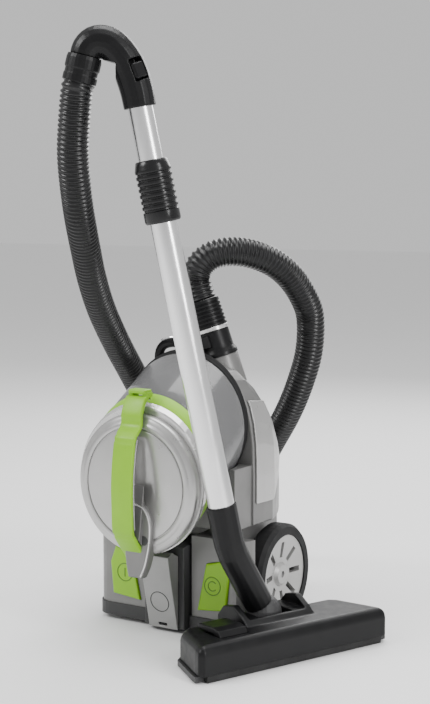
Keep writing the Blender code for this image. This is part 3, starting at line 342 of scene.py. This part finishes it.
def tube(points, radii, sides):
    """Round tube along a line, with a radius at each point."""
    side = None
    sections = []
    for i, here in enumerate(points):
        run = (points[min(i + 1, len(points) - 1)] - points[max(i - 1, 0)]).normalized()
        if side is None:
            side = run.orthogonal().normalized()
        side = (side - run * side.dot(run)).normalized()
        up = run.cross(side)
        r = radii[i]
        sections.append([here + (side * math.cos(a) + up * math.sin(a)) * r
                         for a in (2 * math.pi * k / sides for k in range(sides))])
    return loft(sections)


def soften(name, voxel, turns):
    """The CAD node's own shape with its edges rounded off as in a mould."""
    node = frame["nodes"][name]
    made = bpy.data.objects.new(name + "_moulded", node.data.copy())
    bpy.context.scene.collection.objects.link(made)
    made.matrix_world = node.matrix_world.copy()
    step = made.modifiers.new("voxels", "REMESH")
    step.mode = "VOXEL"
    step.voxel_size = voxel
    step.use_smooth_shade = True
    ease = made.modifiers.new("ease", "SMOOTH")
    ease.factor = 0.5
    ease.iterations = turns
    baked(made)
    made.data.materials.clear()
    made.data.materials.append(M[LOOK_OF[name]])
    made.data.shade_smooth()
    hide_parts(name)
    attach(made, BODY_OF[name])
    return made


def cut(obj, bm):
    """Takes a tool's shape out of an object, in place."""
    mesh = bpy.data.meshes.new("tool")
    bm.to_mesh(mesh)
    bm.free()
    tool = bpy.data.objects.new("tool", mesh)
    bpy.context.scene.collection.objects.link(tool)
    step = obj.modifiers.new("cut", "BOOLEAN")
    step.operation = "DIFFERENCE"
    step.solver = "EXACT"
    step.object = tool
    baked(obj)
    bpy.data.objects.remove(tool)
    return obj


# ------------------------------------------------------------------ hose
HOSE_ROUTE = [
    (0.0020, 0.0790, 0.4560), (0.0095, 0.0840, 0.4690), (0.0215, 0.0935, 0.4775), (0.0370, 0.1080, 0.4805),
    (0.0540, 0.1275, 0.4770), (0.0705, 0.1510, 0.4665), (0.0835, 0.1765, 0.4470), (0.0910, 0.2015, 0.4180),
    (0.0910, 0.2200, 0.3885), (0.0815, 0.2340, 0.3420), (0.0625, 0.2440, 0.2960), (0.0370, 0.2560, 0.2520),
    (0.0020, 0.2730, 0.2060), (-0.0340, 0.2960, 0.1620), (-0.0660, 0.3220, 0.1180), (-0.0920, 0.3450, 0.0780),
    (-0.1120, 0.3620, 0.0450), (-0.1320, 0.3660, 0.0225), (-0.1530, 0.3530, 0.0205), (-0.1670, 0.3270, 0.0340),
    (-0.1700, 0.2980, 0.0650), (-0.1650, 0.2700, 0.1050), (-0.1570, 0.2370, 0.1550), (-0.1480, 0.2030, 0.2080),
    (-0.1380, 0.1730, 0.2560), (-0.1305, 0.1250, 0.3070), (-0.1205, 0.0720, 0.3560), (-0.1047, 0.0170, 0.4050),
    (-0.0883, -0.0260, 0.4490), (-0.0713, -0.0620, 0.4905), (-0.0554, -0.0936, 0.5275),
    (-0.0434, -0.1167, 0.5635), (-0.0340, -0.1332, 0.5980), (-0.0250, -0.1430, 0.6300),
]
HOSE_R = 0.0189
FLANK_R = 0.0176
VALLEY_R = 0.0168
PITCH = 0.0056
STEPS = 6  # rings in each rib
starts = [INLET @ Vector((0, 0, CUFF_LENGTH + 0.0003 + run)) for run in (0, 0.024)]
ends = [CUFF @ Vector((0, 0, 0.0303 + run)) for run in (0.012, 0)]
line = spline([*starts, *[NOSE @ Vector(p) for p in HOSE_ROUTE], *ends], 6)
line = resample(line, PITCH / STEPS)
ribs = (VALLEY_R, FLANK_R, HOSE_R, HOSE_R, FLANK_R, VALLEY_R)
hose = add("corrugated_hose", tube(line, [ribs[i % STEPS] for i in range(len(line))], 26), "hose", None,
           replaces=["hose"], angle=60)
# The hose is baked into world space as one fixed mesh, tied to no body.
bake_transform(hose)

# ------------------------------------------------------------------ dust cup
body = "dust_cup"
shell = [(CUP_R - 0.0038, 0.0130), (CUP_R - 0.0038, 0.0292), (CUP_R - 0.0022, 0.0304),
         (CUP_R - 0.001, 0.0318), (CUP_R - 0.001, 0.060), (CUP_R - 0.001, CUP_LENGTH),
         (CUP_R - 0.0035, CUP_LENGTH), (CUP_R - 0.0035, 0.0325),
         (CUP_R - 0.0063, 0.0305), (CUP_R - 0.0063, 0.0130)]
add("cup_wall", turned(shell, 144), "smoke", body, CUP, ["cup_shell"])
ring = [(CUP_R - 0.0035, 0.0130), (CUP_R - 0.0002, 0.0130), (CUP_R + 0.0003, 0.0136),
        (CUP_R + 0.0003, 0.0282), (CUP_R - 0.0002, 0.0288), (CUP_R - 0.0035, 0.0288)]
add("cup_green_band", turned(ring, 144), "green", body, CUP, ["cup_ring"])
low = CUP_LENGTH + 0.0012
gasket = [(CUP_R - 0.0100, low), (CUP_R - 0.0012, low), (CUP_R - 0.0005, low + 0.0008),
          (CUP_R - 0.0005, low + 0.0030),
          (CUP_R - 0.0011, low + 0.0036), (CUP_R - 0.0005, low + 0.0042), (CUP_R - 0.0005, low + 0.0068),
          (CUP_R - 0.0012, low + 0.0075), (CUP_R - 0.0100, low + 0.0075)]
add("cup_gasket_moulded", turned(gasket, 144), "rubber", "root", CUP, ["cup_gasket"])

LID_R = CUP_R - 0.004
face = [(0.0, -0.0112), (0.010, -0.01118), (0.020, -0.0111), (0.030, -0.0109),
        (0.040, -0.0107), (0.050, -0.0104),
        (0.060, -0.0099), (0.066, -0.0095), (0.0693, -0.0092), (0.0699, -0.0086), (0.0702, -0.0072),
        (0.0712, -0.0072), (0.0715, -0.0086), (0.0721, -0.0091), (0.0755, -0.0087), (0.0778, -0.0083),
        (0.0785, -0.0073), (0.0795, -0.0070), (0.0830, -0.0063), (0.0855, -0.0048), (0.0868, -0.0026),
        (LID_R, 0.0), (LID_R, 0.0042), (LID_R - 0.0030, 0.0042), (LID_R - 0.0030, -0.0015), (0.060, -0.0035),
        (0.0, -0.0035)]
# The dome gets more rings where the thumb hollow is pressed into it.
face = [point for a, b in zip(face[:8], face[1:9]) for point in
        ((a[0] + (b[0] - a[0]) * k / 6, a[1] + (b[1] - a[1]) * k / 6) for k in range(6))] + face[8:]
bm = turned(face, 192)
for v in bm.verts:
    if v.co.z < -0.0085 and v.co.x > 0.0:
        reach = min(1, max(0, (0.060 + v.co.y) / 0.085))
        across = math.exp(-((v.co.x - 0.014) / (0.006 + 0.012 * reach)) ** 2)
        along = max(0.0, 1 - ((v.co.y + 0.004) / 0.056) ** 2) ** 0.7
        v.co.z += 0.0056 * across * along
add("lid_dome", bm, "silver", "lid", LID, ["front_lid"], angle=50)


def ribbon(points, half, thick, notches):
    """Band across X whose outer face follows a line in the YZ plane, sunk a little at its notches."""
    corner = 0.0016
    sink = 0.0006
    sections = []
    for i, here in enumerate(points):
        run = points[min(i + 1, len(points) - 1)] - points[max(i - 1, 0)]
        run = Vector((run[1], run[2])).normalized()
        normal = Vector((run.y, -run.x))
        ease = sink if i in notches else 0
        wide = half - ease
        c = min(corner, thick * 0.45)
        loop = []
        for sx, sn in ((1, 0), (1, 1), (-1, 1), (-1, 0)):
            cx = sx * (wide - c)
            cn = (thick - c) if sn else c + ease
            first = {(1, 0): 270, (1, 1): 0, (-1, 1): 90, (-1, 0): 180}[(sx, sn)]
            for k in range(4):
                a = math.radians(first + 30 * k)
                x = cx + c * math.cos(a)
                n = cn + c * math.sin(a)
                loop.append((x, here[1] + normal.x * n, here[2] + normal.y * n))
        sections.append(loop)
    return loft(sections)


STRAP = [(-0.0015, 0.1095), (0.0055, 0.1070), (0.0150, 0.0890), (0.0165, 0.0750), (0.0285, 0.0622),
         (0.0330, 0.0444), (0.0364, 0.0205), (0.0377, -0.0040), (0.0370, -0.0285), (0.0356, -0.0534),
         (0.0280, -0.0673), (0.0155, -0.0823), (0.0, -0.1020)]
SEAMS = (0.0650, 0.0565, -0.0600)
SEAM_REACH = 0.0012
# From the foot up, so that the band's thickness is laid inward from its outer face.
strap_line = spline([(0, CUP_Y - a, CUP_Z + u) for a, u in STRAP], 6)[::-1]
seams = [i for i, p in enumerate(strap_line)
         if min(abs(p.z - CUP_Z - u) for u in SEAMS) < SEAM_REACH]
add("strap_band", ribbon(strap_line, 0.0150, 0.0055, seams), "green", "lid", NOSE, ["strap_handle"])
hy, hz = CUP_Y + 0.0085, CUP_Z + CUP_RISE * 0.0212 + CUP_R + 0.0060
knuckles = join([box((x - 0.0036, hy - 0.0090, hz - 0.0030), (x + 0.0036, hy + 0.0034, hz + 0.0034),
                     0.0008) for x in (-0.0103, 0.0103)])
add("strap_knuckles", knuckles, "green", "lid", NOSE)


def plate(outline, front, back, bevel, segments):
    """Outline in the XZ plane, from its front face back along Y, with the front edge rounded."""
    bm = bmesh.new()
    face = bm.faces.new([bm.verts.new((x, back, z)) for x, z in outline])
    raised = bmesh.ops.extrude_face_region(bm, geom=[face])
    top = [v for v in raised["geom"] if isinstance(v, bmesh.types.BMVert)]
    bmesh.ops.translate(bm, verts=top, vec=(0, front - back, 0))
    rim = [e for e in bm.edges if all(v in top for v in e.verts)]
    bmesh.ops.bevel(bm, geom=rim, offset=bevel, segments=segments, profile=0.5, affect="EDGES")
    bmesh.ops.recalc_face_normals(bm, faces=bm.faces)
    return bm


# The shield round the foot of the strap, with its light edge.
side = [(0.014, -0.1145), (0.0215, -0.098), (0.0270, -0.074), (0.0290, -0.052), (0.0265, -0.036),
        (0.0170, -0.0235), (0.0, -0.0185)]
half = spline([(x, 0, z) for x, z in side], 5)
LEFT_SHARE = 0.42
shield = [(p.x, CUP_Z + p.z) for p in half] + [(-p.x * LEFT_SHARE, CUP_Z + p.z) for p in half[-2::-1]]
add("strap_shield", plate(shield, CUP_Y - 0.0160, CUP_Y - 0.0035, 0.0035, 4), "grey", "lid", NOSE)
edge = [Vector((x * 0.94, CUP_Y - 0.0158, CUP_Z + (z - CUP_Z + 0.06) * 0.95 - 0.06))
        for x, z in shield[:len(half)]]
add("shield_edge", tube(edge, [0.0011] * len(edge), 10), "silver_edge", "lid", NOSE)
dent = moved(turned([(0.0, -0.0008), (0.0052, -0.0008), (0.0060, 0.0), (0.0052, 0.0004), (0.0, 0.0004)], 40),
             Matrix.Translation((0.0185, CUP_Y - 0.0162, CUP_Z - 0.066))
             @ Matrix.Rotation(math.radians(90), 4, "X"))
add("latch_recess", dent, "dark", "lid", NOSE)


def loop_mark(centre, radius, thick, tilt=0.0, start=0, end=360):
    """Raised line on a face that looks to the front."""
    turn = Matrix.Translation(centre) @ Matrix.Rotation(tilt, 4, "X")
    steps = 48
    angles = [math.radians(start + (end - start) * i / steps) for i in range(steps + 1)]
    path = [turn @ Vector((radius * math.cos(a), 0, radius * math.sin(a))) for a in angles]
    return tube(path, [thick] * len(path), 8)


PEDAL_FACE = 0.0115
bar = [Vector((-0.067, PEDAL_FACE, z)) for z in (0.0605, 0.0715)]
add("switch_mark", join([loop_mark((-0.067, PEDAL_FACE, 0.066), 0.0115, 0.0007),
                         tube(bar, [0.0008, 0.0008], 8)]),
    "green_dark", "switch_pedal_body", NOSE)
add("rewind_mark", join([loop_mark((0.067, PEDAL_FACE, 0.066), 0.0115, 0.0007),
                         loop_mark((0.067, PEDAL_FACE, 0.066), 0.0060, 0.0007, 0, 40, 320)]),
    "green_dark", "rewind_pedal_body", NOSE)
NOSE_TILT = math.atan2(0.0155, 0.069)
add("nose_mark", loop_mark((0, -0.0073, 0.0410), 0.0135, 0.0005, NOSE_TILT), "dark", "root", NOSE)
add("nose_slot", box((-0.0062, 0.0008, 0.0087), (0.0062, 0.0024, 0.0123), 0.0003), "black", "root", NOSE)

# ------------------------------------------------------------------ connector
plug = [(0.0242, 0.0104), (0.0242, 0.0146), (0.0236, 0.0156), (0.0219, 0.0196), (0.0215, 0.0206),
        (0.0215, 0.0432), (0.0210, 0.0437), (0.0190, 0.0437), (0.0190, 0.0488), (0.0216, 0.0488),
        (0.0222, 0.0494)]
for i in range(6):
    z = 0.0520 + 0.0052 * i
    plug += [(0.0221 - 0.0001 * i, z), (0.0206 - 0.0001 * i, z + 0.0008), (0.0206 - 0.0001 * i, z + 0.0018),
             (0.0220 - 0.0001 * i, z + 0.0026)]
plug += [(0.0213, CUFF_LENGTH - 0.0006), (0.0207, CUFF_LENGTH), (0.0160, CUFF_LENGTH), (0.0160, -0.0250),
         (0.0195, -0.0250), (0.0195, 0.0104)]
connector = add("connector_body", turned(plug), "black", "connector", INLET, ["hose_connector"])
cut(connector, moved(box((-0.0069, -0.0260, 0.0236), (0.0069, -0.0168, 0.0404), 0.001), INLET))
smooth(connector)
add("connector_light_ring", turned([(0.0193, 0.0440), (0.0224, 0.0440), (0.0228, 0.0444), (0.0228, 0.0481),
                                    (0.0224, 0.0485), (0.0193, 0.0485)]), "silver_edge", "connector", INLET,
    ["connector_ring"])
add("inlet_socket", turned([(0.0200, -0.030), (0.0235, -0.030), (0.0235, 0.0088), (0.0229, 0.0098),
                            (0.0224, 0.010), (0.0200, 0.010)]), "grey", "root", INLET, ["inlet_collar"])


# ------------------------------------------------------------------ wand, grip and elbow
def wand_ring(inner, outer, low, high):
    """Thin tube along the wand with broken outer edges."""
    lip = 0.0003
    return turned([(inner, low), (outer - lip, low), (outer, low + lip), (outer, high - lip),
                   (outer - lip, high), (inner, high)])


add("wand_lower_tube", wand_ring(0.0151, 0.0160, 0.0065, 0.378), "tube", "root", WAND, ["lower_tube"])
add("wand_upper_tube", wand_ring(0.0138, 0.0147, 0.110, GRIP_START + 0.012), "tube", "upper_wand", WAND,
    ["upper_tube"])
CLAMP_LOW, CLAMP_HIGH, CLAMP_R = 0.3637, 0.4366, 0.0213
profile = [(0.0165, CLAMP_LOW), (CLAMP_R - 0.0016, CLAMP_LOW), (CLAMP_R - 0.0006, CLAMP_LOW + 0.001),
           (CLAMP_R, CLAMP_LOW + 0.003), (CLAMP_R, CLAMP_LOW + 0.0135)]
step = (CLAMP_HIGH - CLAMP_LOW - 0.024) / 7
for i in range(7):
    z = CLAMP_LOW + 0.0145 + step * i
    profile += [(CLAMP_R - 0.0017, z), (CLAMP_R - 0.0017, z + step * 0.26),
                (CLAMP_R - 0.0003, z + step * 0.36), (CLAMP_R, z + step * 0.48),
                (CLAMP_R, z + step * 0.80), (CLAMP_R - 0.0003, z + step * 0.92)]
profile += [(CLAMP_R - 0.0014, CLAMP_HIGH - 0.006), (CLAMP_R - 0.0028, CLAMP_HIGH - 0.001),
            (CLAMP_R - 0.0040, CLAMP_HIGH), (0.0152, CLAMP_HIGH), (0.0152, 0.3848), (0.0165, 0.3848)]
add("clamp_sleeve", turned(profile), "black_gloss", "clamp", WAND, ["telescopic_clamp"])

for name, voxel, turns in (("grip_handle", 0.0008, 8), ("elbow", 0.0009, 8), ("head_housing", 0.0010, 8),
                           ("carry_handle", 0.0006, 8), ("head_pedal", 0.0007, 4),
                           ("lid_tongue", 0.0006, 4), ("nose_cover", 0.0006, 3), ("nose_housing", 0.0010, 3),
                           ("upper_casing", 0.0010, 10), ("side_panel_left", 0.0008, 8),
                           ("side_panel_right", 0.0008, 8)):
    soften(name, voxel, turns)

# The slot that the brush strip slides in.
slot_box = box((-0.1335, -0.0688, -0.01), (0.1335, -0.0612, 0.0182))
cut(bpy.data.objects["head_housing_moulded"], moved(slot_box, HEAD))

# Parts that keep their CAD shape get moulded edges.
for name in ("base_tub", "switch_pedal", "rewind_pedal", "release_button", "connector_button",
             "suction_slider", "cup_cradle", "sole_plate", "exhaust_grille", "bumper_band",
             "wheel_hub_left", "wheel_hub_right"):
    node = frame["nodes"][name]
    rounding = node.modifiers.new("edge", "BEVEL")
    rounding.width = 0.0012 if name == "base_tub" else 0.0005
    rounding.segments = 2
    rounding.limit_method = "ANGLE"
    rounding.angle_limit = math.radians(40)
for name, node in frame["nodes"].items():
    if not node.hide_render:
        smooth(node, 40)


# ------------------------------------------------------------------ stage and lights
def plain(name, colour, rough):
    """Even material for the stage."""
    made = bpy.data.materials.new(name)
    made.use_nodes = True
    made.node_tree.nodes["Principled BSDF"].inputs["Base Color"].default_value = (*colour, 1)
    made.node_tree.nodes["Principled BSDF"].inputs["Roughness"].default_value = rough
    return made


floor_bm = bmesh.new()
bmesh.ops.create_grid(floor_bm, x_segments=1, y_segments=1, size=12)
floor_mesh = bpy.data.meshes.new("floor")
floor_bm.to_mesh(floor_mesh)
floor_bm.free()
floor = bpy.data.objects.new("floor", floor_mesh)
bpy.context.scene.collection.objects.link(floor)
floor_mesh.materials.append(plain("floor_white", (0.92, 0.92, 0.92), 0.7))
floor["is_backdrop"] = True

world = bpy.data.worlds.new("studio")
bpy.context.scene.world = world
world.use_nodes = True
world.node_tree.nodes["Background"].inputs["Color"].default_value = (1, 1, 1, 1)
world.node_tree.nodes["Background"].inputs["Strength"].default_value = 0.70


LIT_POINT = Vector((-0.02, 0.0, 0.3))


def light(name, at, size, power):
    """Area lamp turned to the middle of the cleaner."""
    lamp = bpy.data.lights.new(name, "AREA")
    lamp.shape = "RECTANGLE"
    lamp.size, lamp.size_y = size
    lamp.energy = power
    made = bpy.data.objects.new(name, lamp)
    bpy.context.scene.collection.objects.link(made)
    made.location = at
    made.rotation_euler = (LIT_POINT - Vector(at)).to_track_quat("-Z", "Y").to_euler()


light("key", (-1.5, -1.7, 2.0), (1.0, 1.0), 44)
light("side", (1.9, -0.5, 1.2), (0.4, 1.6), 30)
light("top", (0.0, 0.3, 2.4), (1.6, 1.2), 40)
light("back", (-0.4, 1.9, 1.4), (1.4, 1.0), 24)

low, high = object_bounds()
